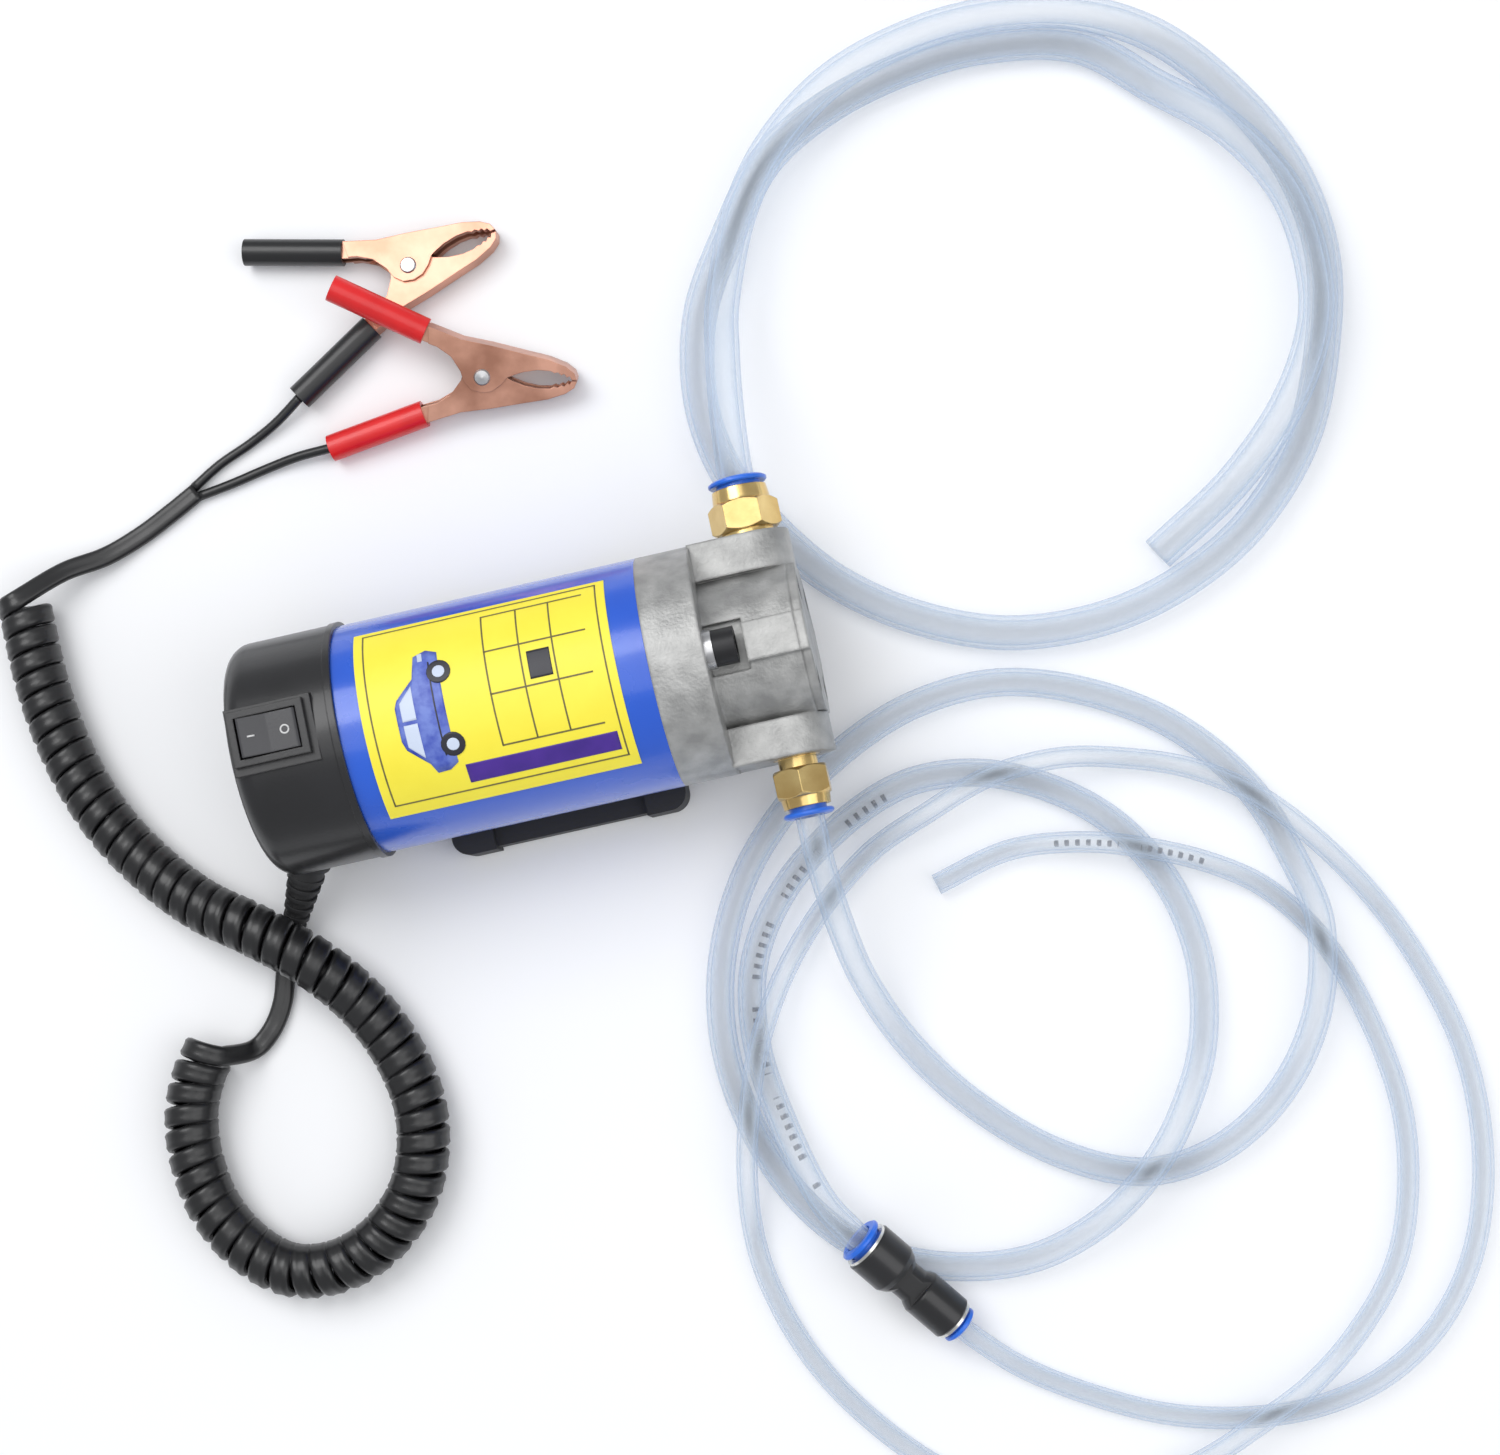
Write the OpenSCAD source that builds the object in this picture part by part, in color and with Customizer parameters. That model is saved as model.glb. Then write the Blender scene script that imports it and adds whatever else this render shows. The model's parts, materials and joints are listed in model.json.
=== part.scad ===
// Twelve-volt fluid transfer pump: a DC motor in a steel can drives a gear pump in a cast
// aluminium head. Hoses, a curly supply lead and two battery clips lie on the bench around it.
// +X runs along the motor towards the pump head, +Y towards the outlet, +Z up.
// The origin is on the bench under the middle of the pump.

/* [Motor] */
// Height of the motor's axis above the bench
axis_z = 35; // [34.5:0.5:36]
// Radius of the painted steel can
can_r = 32; // [31.8:0.1:32.2]
// Wall of the steel can
can_wall = 1.5; // [1:0.1:1.8]
// Rear end of the steel can
can_rear_x = -47.8; // [-48.2:0.1:-47.4]
// Front end of the steel can
can_front_x = 36.6; // [36.2:0.1:36.8]
// Radius of the armature's laminated core
core_r = 19; // [17:0.5:20]
// Radius of the motor shaft
shaft_r = 3; // [2.9:0.1:3]

/* [Rear cover] */
// Rear end of the black cover
cover_rear_x = -79; // [-80:0.5:-78]
// Outer radius of the black cover
cover_r = 32.8; // [32.6:0.1:33]
// Wall of the black cover
cover_wall = 2; // [1.6:0.1:2.2]

/* [Pump head] */
// Front end of the head's round flange
flange_front_x = 51.7; // [51.2:0.1:52.2]
// Front end of the cast block
block_front_x = 76.5; // [76:0.1:77]
// Thickness of the end plate
end_plate_t = 2.5; // [2:0.1:3]
// Distance from the axis to each port's face
port_face_y = 31; // [30.5:0.1:31.5]
// Place of the ports along the pump
port_x = 68; // [67.5:0.1:68.5]
// Distance from the axis to the end of each release collet
collet_end_y = 47.5; // [47:0.1:48]

/* [Gear pump] */
// Width of the pump gears
gear_width = 18.2; // [16:0.1:18.2]

/* [Foot] */
// Length of the foot
foot_l = 68; // [64:1:72]
// Width of the foot
foot_w = 72; // [70:1:74]
// Height of the foot's two end blocks
foot_h = 12; // [11:1:13]

/* [Hoses and lead] */
// Outside diameter of the outlet hose
outlet_hose_d = 10; // [9.8:0.1:10]
// Outside diameter of the inlet hose
inlet_hose_d = 8; // [7.8:0.1:8]
// Outside diameter of the suction hose
suction_hose_d = 6; // [5.8:0.1:6]
// Width of the flat twin lead
lead_w = 5.9; // [5.6:0.1:6]
// Thickness of the flat twin lead
lead_t = 2.9; // [2.8:0.1:3]
// Outside diameter of the curly lead
curl_d = 15.6; // [15:0.1:16]

/* [Battery clips] */
// Overall thickness of a clip's outer arm
clip_t = 8; // [7.8:0.1:8.2]
// Thickness of the clip's sheet copper
clip_sheet = 0.8; // [0.7:0.1:0.9]
// Outside diameter of a clip's handle sleeve
sleeve_d = 7.8; // [7.6:0.1:8]

/* [Hidden] */
$fn = 96;
gap = 0.3;                      // clearance between bodies that move past each other
run = 0.05;                     // radial running clearance of a shaft or pin in its hole

can_in_r = can_r - can_wall;
end_x = block_front_x + end_plate_t;
body_r = 22;                    // round body between the ports
boss_inner_y = 20.5;            // inner face of each port boss
boss_r = end_x - port_x;        // half height of a boss, and the radius of its front
gear_teeth = 10;                // teeth on each pump gear
gear_module = 1.2;              // module of the pump gears
gear_pitch_r = gear_module * gear_teeth / 2;
gear_tip_r = gear_pitch_r + gear_module;
gear_drop = 2 * gear_pitch_r + 0.1;
chamber_r = gear_tip_r + gap;
chamber_x = block_front_x - gear_width - 0.3;
head_bore_z = axis_z - gear_drop / 2;
head_screw_z = [24, -26];       // heights of the two head screws, from the axis

bearing_x = [-50.5, 38.6];      // rear faces of the two ball bearings' seats
bearing_w = 6;
bearing_r = 9.5;

switch_pos = [-66, 3, 67.8];    // middle of the switch on the cover's flat pad
pivot_r = 1;                    // the rocker's pivot pins
rocker_tilt = 6;                // the rocker rests with its far end pressed in

relief_base = [-73, -25.5, 16.5];
relief_tip = [-86, -46, 4];

coupler_pos = [55.5, -162.5, 19];
coupler_end = [77.5, -192.5, 9.2];

red_pos = [1.4, 98.9, 8.1];
red_turn = [20.5, 5.6, -14.5];
black_pos = [-13.4, 135.4, 4.85];
black_turn = [0, 0, 9];

handle_near = [-16.7, 11.9];
handle_far = [-42.8, 22.8];
handle_w = 5.2;                 // width of a handle inside its sleeve
handle_h = 4.76;                // depth of a handle inside its sleeve
sleeve_over = 1.2;              // the sleeve's overhang past the handle's end

// Middles of the hoses and of the lead, from the pump outwards
outlet_route = [
    [68, 34, 35], [68, 46, 35], [68, 52, 34.6], [69, 68, 30], [71, 86, 23], [74, 102, 18],
    [84, 126, 16], [98, 144, 15.8], [118, 158, 15], [142, 165, 14], [165, 166, 13.5],
    [190, 161, 12.2], [211, 150, 7], [228, 129, 5], [239, 105, 5], [242, 80, 5], [237, 56, 5], [225, 29, 5],
    [205, 8, 5], [182, -4, 5], [158, -9, 5], [132, -7, 5], [108, 3, 5], [88, 18, 5],
    [74, 36, 5], [64, 56, 5], [61, 78, 5], [66, 102, 5], [78, 122, 5], [94, 142, 5],
    [114, 153, 5], [138, 159, 5], [162, 160, 5], [188, 154, 5], [206, 138, 5], [223, 119, 12],
    [234, 98, 15.3], [237, 77, 15.4], [234, 58, 15.2], [222, 38, 13.8], [203, 20.5, 8],
    [178, 5.5, 5]
];
inlet_route = [
    [68, -34, 35], [68, -46, 35], [68, -50, 34.6], [68, -60, 32], [69, -76, 24], [72, -94, 14],
    [80, -114, 6], [94, -134, 4], [114, -152, 4], [136, -162, 4], [158, -160, 4],
    [178, -148, 4], [192, -129, 7], [198, -106, 10.7], [196, -88, 5], [188, -64, 4],
    [172, -43, 4], [150, -28, 4], [126, -20, 4], [102, -21, 4], [80, -29, 4], [60, -42, 4],
    [44, -59, 4], [33, -81, 4], [29, -104, 4], [32, -128, 4], [41, -150, 4], [55, -166, 4],
    [76, -176, 4], [100, -179, 4], [121, -173, 7], [137, -162, 12.8], [150, -148, 8],
    [160, -130, 4], [164, -106, 4], [159, -82, 4], [145, -61, 4], [122, -46, 4], [98, -42, 4],
    [76, -49, 4], [55, -64, 4], [42, -83, 4], [38, -106, 4], [41.5, -130, 9], [47.5, -150, 16],
    [54, -160.4, 19.7], [56.9, -164.4, 18.4], [62, -171.4, 16.1]
];
suction_route = [
    [71.4, -184.1, 11.9], [76.5, -191.1, 9.6], [80.4, -196.4, 7.9], [92, -208, 3.5],
    [109, -219, 3], [128, -228, 3], [148, -233, 3],
    [168, -234, 3], [187, -230, 3], [204, -220, 3], [217, -205, 3], [225, -187, 3],
    [229, -167, 3], [229, -147, 3], [225, -128, 3], [217, -106, 3], [205, -86, 9],
    [190, -68, 12.5], [174, -56, 8.5], [157, -49, 6], [138, -45, 10.8], [118, -46, 11.4],
    [99, -52, 9], [81, -59, 3.5], [65, -71, 3], [51, -86, 6], [40, -104, 12], [33, -122, 12.2],
    [28, -141, 9.5], [26, -160, 3], [29, -178, 3], [36, -196, 3], [47, -213, 3], [62, -229, 3],
    [80, -240, 3], [98, -246, 3], [117, -246, 3], [136, -241, 6.5], [152, -234, 9.8],
    [168, -227, 7.5], [184, -216, 3], [198, -200, 3], [206, -180, 3], [209, -158, 3],
    [206, -134, 3], [199, -111, 3], [187, -93, 3], [172, -82, 7], [153, -73.5, 11.8],
    [136, -68.5, 8], [118, -67, 3], [97, -72, 3]
];
supply_route = [
    [-86, -46, 4], [-88.6, -50.1, 2.4], [-91, -57, 1.6], [-93.5, -65, 1.6], [-98, -72, 1.8],
    [-104, -76.5, 3], [-109, -77.5, 5]
];
curl_route = [
    [-115, -74, 8], [-120, -81, 8], [-124, -91, 8], [-125, -104, 8], [-122, -119, 8],
    [-114, -132, 8], [-103, -140, 8], [-89, -141, 8], [-75, -135, 8], [-64, -123, 8],
    [-59, -106, 8], [-61, -89, 8], [-68, -72, 10], [-79, -57, 14], [-94, -44, 14.5],
    [-109, -33, 11], [-122, -19, 8], [-132, -3, 8], [-139, 16, 8], [-143, 38, 8],
    [-144, 64, 8]
];
twin_route = [
    [-143.5, 62.5, 11], [-140, 68, 11], [-131, 70.5, 7.5], [-119, 73, 3.5], [-108, 77, 1.6],
    [-98, 81.5, 1.6], [-89, 86, 1.6]
];
black_wire_route = [
    [-89, 86, 1.6], [-80, 91, 1.6], [-70, 95, 1.6], [-61, 99, 3], [-52.1, 104.4, 4.85]
];
red_wire_route = [
    [-89, 86, 1.6], [-79, 87.4, 1.6], [-68, 89.4, 1.6], [-58, 90.5, 2.9], [-47.3, 90.5, 4.3]
];
split_step = [0.65, -1.42, 0];  // each single wire starts this far from the lead's middle

// ---- vectors and sweeps ------------------------------------------------------------------

function unit(v) = v / norm(v);
function tangent(path, i) =
    unit(path[min(i + 1, len(path) - 1)] - path[max(i - 1, 0)]);
function side(t) = unit(cross(t, [0, 0, 1]));

// One ring of the swept tube: an ellipse square to the route, flat side down
function ring(p, t, half_w, half_t, sides) = [
    for (k = [0:sides - 1])
        let (a = (k + 0.5) * 360 / sides, s = side(t), u = cross(s, t))
        p + half_w * cos(a) * s + half_t * sin(a) * u
];

// A closed tube along a route; half_w and half_t are its half width and half thickness
module tube(path, half_w, half_t, sides) {
    rings = len(path);
    points = [
        for (i = [0:rings - 1])
            each ring(path[i], tangent(path, i), half_w, half_t, sides)
    ];
    walls = [
        for (i = [0:rings - 2], k = [0:sides - 1])
            let (n = (k + 1) % sides, a = i * sides, b = a + sides)
            each [[a + k, a + n, b + n], [a + k, b + n, b + k]]
    ];
    first = [for (k = [0:sides - 1]) sides - 1 - k];
    last = [for (k = [0:sides - 1]) (rings - 1) * sides + k];
    polyhedron(points = points, faces = concat([first], walls, [last]));
}

// Puts a shape drawn along +Z so that it runs from one point towards another
module aim(from, to) {
    d = to - from;
    flat = norm([d.x, d.y]);
    translate(from)
        rotate([0, atan2(flat, d.z), atan2(d.y, d.x)])
            children();
}

module along_x(x) {
    translate([x, 0, axis_z])
        rotate([0, 90, 0])
            children();
}

// A ring on the pump's axis from x0 to x1
module ring_x(x0, x1, outer, inner = 0) {
    along_x(x0)
        difference() {
            cylinder(r = outer, h = x1 - x0);
            if (inner > 0)
                translate([0, 0, -1])
                    cylinder(r = inner, h = x1 - x0 + 2);
        }
}

module box(x0, x1, y0, y1, z0, z1) {
    translate([x0, y0, z0])
        cube([x1 - x0, y1 - y0, z1 - z0]);
}

// ---- motor -------------------------------------------------------------------------------

module motor_can() {
    color("royalblue")
        difference() {
            ring_x(can_rear_x, can_front_x, can_r, can_in_r);
            for (s = [-1, 1])
                translate([s * 20, 0, 0])
                    cylinder(r = 2.1, h = 8);
        }
}

// Printed label wrapped over the top of the can
module name_label() {
    color("gold")
        intersection() {
            ring_x(-41.2, 28.3, can_r + 0.25, can_r);
            translate([-45, 0, axis_z])
                rotate([90, 0, 90])
                    linear_extrude(80)
                        polygon([[0, 0], for (a = [38.5:20.6:141.5]) 60 * [cos(a), sin(a)]]);
        }
}

module magnets() {
    color("dimgray")
        for (turn = [0, 180])
            intersection() {
                ring_x(-26, 26, can_in_r - 0.1, core_r + 1.2);
                translate([-30, 0, axis_z])
                    rotate([90, 0, 90])
                        rotate(turn)
                            linear_extrude(60)
                                polygon([[0, 0], for (a = [-65:26:65]) 60 * [cos(a), sin(a)]]);
            }
}

module rotor_shaft() {
    color("silver")
        ring_x(-49.5, block_front_x - 0.3, shaft_r);
}

module armature_core() {
    slots = 12;
    color("lightsteelblue")
        difference() {
            ring_x(-22, 22, core_r, shaft_r);
            for (i = [0:slots - 1])
                translate([-23, 0, axis_z])
                    rotate([i * 360 / slots, 0, 0])
                        translate([0, -1.5, core_r - 6])
                            cube([46, 3, 8]);
        }
}

// Two rings of copper wire, one at each end of the core
module armature_windings() {
    color("peru")
        for (x = [[-30, -22], [22, 28]])
            ring_x(x[0], x[1], core_r - 2, shaft_r + 2);
}

module commutator() {
    bars = 12;
    color("chocolate")
        difference() {
            ring_x(-44, -31, 9, shaft_r);
            for (i = [0:bars - 1])
                translate([-44.5, 0, axis_z])
                    rotate([i * 360 / bars, 0, 0])
                        translate([0, -0.3, 7.8])
                            cube([11, 0.6, 2]);
        }
}

module ball_bearings() {
    color("silver")
        for (x = bearing_x)
            ring_x(x, x + bearing_w, bearing_r, shaft_r + run);
}

// Rear plate of the motor: carries the rear bearing and the brush boxes
module rear_endbell() {
    plate_x = bearing_x[0] + bearing_w;
    color("gainsboro")
        difference() {
            union() {
                ring_x(can_rear_x - 1.5, can_rear_x + 2, can_in_r - 0.1);
                ring_x(bearing_x[0] - 1.5, plate_x, bearing_r + 2);
                for (s = [-1, 1])
                    translate([0, s * 18.5, axis_z])
                        translate([-47, -8.5, -6.5])
                            cube([14, 17, 13]);
            }
            ring_x(bearing_x[0], plate_x + 1, bearing_r);
            ring_x(plate_x - 0.5, -30, 9 + 2 * gap);
            for (s = [-1, 1])
                translate([-43, s > 0 ? 9 : -26, axis_z - 4])
                    cube([6, 17, 8]);
        }
}

module carbon_brushes() {
    color("black")
        for (s = [-1, 1])
            translate([-42.95, s > 0 ? 9.3 : -18.3, axis_z - 3.95])
                cube([5.9, 9, 7.9]);
}

// Round wire wound about +Z from z = 0 up to z = height, measured at the wire's middle
module wound_wire(turns, coil_r, wire_r, height) {
    steps = 14;
    sides = 6;
    rings = turns * steps;
    points = [
        for (i = [0:rings], k = [0:sides - 1])
            let (a = i * 360 / steps, b = k * 360 / sides, q = coil_r + wire_r * cos(b))
            [q * cos(a), q * sin(a), height * i / rings + wire_r * sin(b)]
    ];
    walls = [
        for (i = [0:rings - 1], k = [0:sides - 1])
            let (n = (k + 1) % sides, c = i * sides, d = c + sides)
            each [[c + k, c + n, d + n], [c + k, d + n, d + k]]
    ];
    first = [for (k = [0:sides - 1]) sides - 1 - k];
    last = [for (k = [0:sides - 1]) rings * sides + k];
    polyhedron(points = points, faces = concat([first], walls, [last]));
}

// Compression springs that press the brushes onto the commutator
module brush_springs() {
    wire_r = 0.35;
    color("silver")
        for (s = [-1, 1])
            translate([-40, s * (18.35 + wire_r), axis_z])
                rotate([s * -90, 0, 0])
                    wound_wire(4, 2.4, wire_r, 6.8);
}

// ---- pump head ---------------------------------------------------------------------------

// Outline of the cast block seen from its end, about the motor's axis (x is Y, y is Z)
module block_outline() {
    rib = 5.3;
    union() {
        circle(r = body_r);
        translate([0, -gear_drop])
            circle(r = 12.5);
        translate([-rib, -25])
            square([2 * rib, 50]);
    }
}

// A boss for one port: flat on top and underneath, with a half-round front
module port_boss(s) {
    translate([0, s > 0 ? port_face_y : -boss_inner_y, axis_z])
        rotate([90, 0, 0])
            linear_extrude(port_face_y - boss_inner_y)
                union() {
                    translate([flange_front_x - 0.5, -boss_r])
                        square([port_x - flange_front_x + 0.5, 2 * boss_r]);
                    translate([port_x, 0])
                        circle(r = boss_r);
                }
}

module gear_chamber() {
    for (z = [0, -gear_drop])
        translate([chamber_x, 0, axis_z + z])
            rotate([0, 90, 0])
                cylinder(r = chamber_r, h = block_front_x - chamber_x + 1);
}

function end_screw_places() = [for (y = [-1, 1], z = [-1, 1]) [y * 12.7, z * 12.7]];

module pump_head() {
    color("darkgray")
        difference() {
            union() {
                ring_x(can_front_x, flange_front_x, can_r);
                ring_x(can_front_x - 4, can_front_x, can_in_r - 0.1);
                translate([flange_front_x - 1, 0, axis_z])
                    rotate([90, 0, 90])
                        linear_extrude(block_front_x - flange_front_x + 1)
                            block_outline();
                port_boss(1);
                port_boss(-1);
            }
            // notches in the ribs for the two head screws
            for (z = head_screw_z)
                translate([flange_front_x, -7, axis_z + z - (z > 0 ? 5.5 : 6.5)])
                    cube([10.5, 14, 12]);
            // motor side: bearing seat and shaft seal
            ring_x(can_front_x - 5, bearing_x[1] + bearing_w, bearing_r);
            ring_x(bearing_x[1] + bearing_w, chamber_x + 1, shaft_r + 0.4);
            ring_x(46, 50, 7);
            gear_chamber();
            // hole for the driven gear's pin
            translate([chamber_x - 6, 0, axis_z - gear_drop])
                rotate([0, 90, 0])
                    cylinder(r = shaft_r, h = 10);
            // ports and their passages to the gears
            for (s = [-1, 1]) {
                translate([port_x, 0, axis_z])
                    rotate([s * -90, 0, 0])
                        translate([0, 0, port_face_y - 8])
                            cylinder(r = 6.5, h = 10);
                translate([port_x, 0, head_bore_z])
                    rotate([s * -90, 0, 0])
                        translate([0, 0, 4])
                            cylinder(r = 3.2, h = port_face_y - 10);
            }
            // clearance holes for the head screws
            for (z = head_screw_z)
                translate([can_front_x - 6, 0, axis_z + z])
                    rotate([0, 90, 0])
                        cylinder(r = 3.3, h = 30);
            // tapped holes for the end plate's screws
            for (p = end_screw_places())
                translate([block_front_x - 11, p[0], axis_z + p[1]])
                    rotate([0, 90, 0])
                        cylinder(r = 1.9, h = 12);
            // groove for the end plate's seal
            seal_ring(0.1);
        }
}

// Seal between block and end plate, round both gear bores
module seal_ring(grow) {
    translate([block_front_x - 1.2 - grow, 0, 0])
        rotate([90, 0, 90])
            linear_extrude(1.2 + grow)
                difference() {
                    seal_shape(10.4 + grow);
                    seal_shape(9.2 - grow);
                }
}

module seal_shape(r) {
    for (z = [0, -gear_drop])
        translate([0, axis_z + z])
            circle(r = r);
    translate([-r, axis_z - gear_drop])
        square([2 * r, gear_drop]);
}

module end_plate_seal() {
    color("black")
        seal_ring(0);
}

module end_plate() {
    color("silver")
        difference() {
            translate([block_front_x, 0, axis_z])
                rotate([90, 0, 90])
                    linear_extrude(end_plate_t)
                        intersection() {
                            block_outline();
                            translate([-boss_inner_y + 0.2, -30])
                                square([2 * boss_inner_y - 0.4, 60]);
                        }
            for (p = end_screw_places())
                translate([block_front_x - 1, p[0], axis_z + p[1]])
                    rotate([0, 90, 0]) {
                        cylinder(r = 2.2, h = 5);
                        translate([0, 0, 2])
                            cylinder(r = 3.6, h = 5);
                    }
        }
}

// Button-head screws sunk into the end plate
module end_plate_screws() {
    color("dimgray")
        for (p = end_screw_places())
            translate([0, p[0], axis_z + p[1]])
                rotate([0, 90, 0])
                    difference() {
                        union() {
                            translate([0, 0, block_front_x - 9])
                                cylinder(r = 1.9, h = 10.2);
                            translate([0, 0, block_front_x + 1])
                                cylinder(r = 3.5, h = 1.4);
                        }
                        translate([0, 0, block_front_x + 1.4])
                            cylinder(r = 1.2, h = 2, $fn = 6);
                    }
}

// Two socket-head screws that clamp the head to the motor
module head_screws() {
    color("black")
        for (z = head_screw_z)
            translate([flange_front_x + 2.2, 0, axis_z + z])
                rotate([0, 90, 0])
                    difference() {
                        union() {
                            cylinder(r = 5, h = 6);
                            translate([0, 0, -20])
                                cylinder(r = 3, h = 21);
                        }
                        translate([0, 0, 3])
                            cylinder(r = 2.8, h = 4, $fn = 6);
                    }
}

module spring_washers() {
    color("gainsboro")
        for (z = head_screw_z)
            translate([flange_front_x, 0, axis_z + z])
                rotate([0, 90, 0])
                    difference() {
                        cylinder(r = 5.4, h = 2.2);
                        translate([0, 0, -1])
                            cylinder(r = 3.05, h = 5);
                        translate([3, -0.4, -1])
                            cube([4, 0.8, 5]);
                    }
}

module shaft_seal() {
    color("black")
        ring_x(46, 50, 7, shaft_r + run);
}

// ---- gears -------------------------------------------------------------------------------

// Tooth outline: trapezoids with rounded-off roots on a root circle
module gear_outline(turn) {
    root_r = gear_pitch_r - 1.25 * gear_module;
    rotate(turn)
        union() {
            circle(r = root_r);
            for (i = [0:gear_teeth - 1])
                rotate(i * 360 / gear_teeth)
                    polygon([
                        [root_r - 0.5, -1.25], [gear_pitch_r, -0.82], [gear_tip_r - 0.25, -0.34],
                        [gear_tip_r - 0.25, 0.34], [gear_pitch_r, 0.82], [root_r - 0.5, 1.25]
                    ]);
        }
}

module pump_gear(z, turn, bore) {
    translate([chamber_x + 0.1, 0, axis_z + z])
        rotate([90, 0, 90])
            difference() {
                linear_extrude(gear_width)
                    gear_outline(turn);
                translate([0, 0, -1])
                    cylinder(r = bore, h = gear_width + 2);
            }
}

module drive_gear() {
    color("slategray")
        pump_gear(0, -90, shaft_r);
}

module driven_gear() {
    color("slategray")
        pump_gear(-gear_drop, 90 + 180 / gear_teeth, shaft_r + run);
}

module driven_gear_pin() {
    color("silver")
        translate([chamber_x - 6, 0, axis_z - gear_drop])
            rotate([0, 90, 0])
                cylinder(r = shaft_r, h = block_front_x - chamber_x + 6);
}

// ---- push-in fittings --------------------------------------------------------------------

// Brass body, drawn along +Z from the port face outwards
module fitting_body(flats, neck_h, neck_r, hex_h, mouth_r, hose_r, collet_r) {
    end_h = collet_end_y - port_face_y - 2.7;
    difference() {
        union() {
            translate([0, 0, -7])
                cylinder(r = 6.45, h = 7);
            cylinder(r = neck_r, h = neck_h + 1);
            intersection() {
                translate([0, 0, neck_h])
                    cylinder(r = flats / 2 / cos(30), h = hex_h, $fn = 6);
                translate([0, 0, neck_h])
                    rotate_extrude()
                        polygon([
                            [0, 0], [flats / 2 - 0.2, 0], [flats / 2 / cos(30) + 0.1, 1.2],
                            [flats / 2 / cos(30) + 0.1, hex_h - 1.2], [flats / 2 - 0.2, hex_h],
                            [0, hex_h]
                        ]);
            }
            translate([0, 0, neck_h + hex_h - 0.5])
                rotate_extrude()
                    polygon([
                        [0, 0], [flats / 2 - 0.3, 0], [flats / 2 - 0.5, 1],
                        [mouth_r, end_h - neck_h - hex_h + 0.5],
                        [0, end_h - neck_h - hex_h + 0.5]
                    ]);
        }
        translate([0, 0, -8])
            cylinder(r = hose_r - 1.6, h = 30);
        translate([0, 0, 3])
            cylinder(r = hose_r + 0.1, h = 30);
        translate([0, 0, end_h - 6.5])
            cylinder(r = collet_r + gap, h = 10);
    }
}

// Release collet: a sleeve inside the fitting with a flange outside it
module collet(hose_r, sleeve_r, flange_r, sleeve_h) {
    difference() {
        union() {
            translate([0, 0, -sleeve_h])
                cylinder(r = sleeve_r, h = sleeve_h + 0.5);
            rotate_extrude()
                polygon([
                    [0, 0], [flange_r - 0.4, 0], [flange_r, 0.4], [flange_r, 1],
                    [flange_r - 0.7, 1.5], [0, 1.5]
                ]);
        }
        translate([0, 0, -sleeve_h - 1])
            cylinder(r = hose_r + gap, h = sleeve_h + 3);
    }
}

module at_port(s) {
    translate([port_x, s * port_face_y, axis_z])
        rotate([s * -90, 0, 0])
            children();
}

module outlet_fitting() {
    color("goldenrod")
        at_port(1)
            fitting_body(17, 1.6, 7.2, 8.4, 7.6, outlet_hose_d / 2, 6.2);
}

module inlet_fitting() {
    color("goldenrod")
        at_port(-1)
            rotate(30)
                fitting_body(14.6, 3, 5.4, 8, 6.5, inlet_hose_d / 2, 5.2);
}

module outlet_collet() {
    color("dodgerblue")
        at_port(1)
            translate([0, 0, collet_end_y - port_face_y - 1.5])
                collet(outlet_hose_d / 2, 6.2, 8.2, 5);
}

module inlet_collet() {
    color("dodgerblue")
        at_port(-1)
            translate([0, 0, collet_end_y - port_face_y - 1.5])
                collet(inlet_hose_d / 2, 5.2, 7, 5);
}

module seal_o_ring(inner_r, outer_r) {
    wire_r = (outer_r - inner_r) / 2;
    rotate_extrude()
        translate([inner_r + wire_r, 0])
            circle(r = wire_r, $fn = 24);
}

// O-rings that grip the hoses inside the two brass fittings
module fitting_seals() {
    color("black") {
        at_port(1)
            translate([0, 0, 8.4])
                seal_o_ring(outlet_hose_d / 2 + 0.02, 6.4);
        at_port(-1)
            translate([0, 0, 8.4])
                seal_o_ring(inlet_hose_d / 2 + 0.02, 5.4);
    }
}

// ---- rear cover and switch ---------------------------------------------------------------

module rear_cover() {
    edge_r = 6;
    depth = can_rear_x - cover_rear_x;
    color("dimgray")
        difference() {
            union() {
                along_x(cover_rear_x)
                    rotate_extrude()
                        union() {
                            square([cover_r - edge_r, depth]);
                            translate([0, edge_r])
                                square([cover_r, depth - edge_r]);
                            translate([cover_r - edge_r, edge_r])
                                circle(r = edge_r);
                            translate([0, depth - 2])
                                square([cover_r + 0.4, 2]);
                        }
                switch_pad();
                relief_seat();
            }
            along_x(cover_rear_x + cover_wall)
                rotate_extrude()
                    union() {
                        square([cover_r - cover_wall - 4, depth]);
                        translate([0, 4])
                            square([cover_r - cover_wall, depth]);
                        translate([cover_r - cover_wall - 4, 4])
                            circle(r = 4);
                    }
            translate(switch_pos)
                translate([-9.7, -6.7, -12])
                    cube([19.4, 13.4, 20]);
            aim(relief_base, relief_tip)
                translate([0, 0, -12])
                    cylinder(r = 4.1, h = 30);
        }
}

// Flat raised pad on top of the cover that carries the switch
module switch_pad() {
    translate([switch_pos.x - 11.3, switch_pos.y - 9.8, axis_z + 20])
        cube([23.8, 18.3, switch_pos.z - axis_z - 20]);
}

// Socket in the cover's lower side for the strain relief
module relief_seat() {
    aim(relief_base, relief_tip)
        translate([0, 0, -5])
            cylinder(r = 6.6, h = 7);
}

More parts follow.
